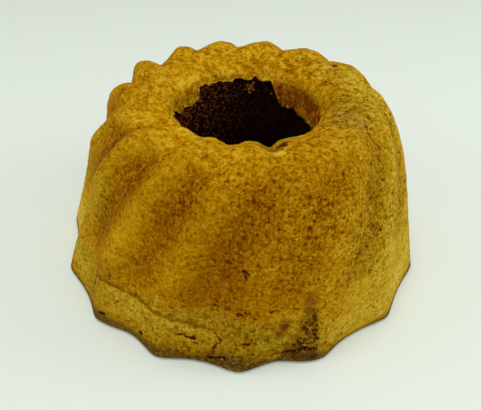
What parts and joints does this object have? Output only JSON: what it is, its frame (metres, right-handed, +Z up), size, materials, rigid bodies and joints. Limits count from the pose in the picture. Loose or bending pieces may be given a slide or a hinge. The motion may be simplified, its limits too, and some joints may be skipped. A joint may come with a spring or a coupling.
{
  "type": "marble cake",
  "caption": "Ring-shaped marble cake with a golden speckled crust, swirled flutes, a scalloped flat base and a tapered through hole that shows dark cocoa crumb.",
  "frame": {"origin": "centre of the outer box on the surface the cake stands on", "axes": "+Z up through the hole, -Y towards the front shown in the picture"},
  "size_m": [0.2184, 0.2186, 0.1025],
  "materials": {
    "crust": "baked golden crust, matte, finely pored and speckled"
  },
  "bodies": {
    "root": {"cake": "crust"}
  },
  "joints": []
}
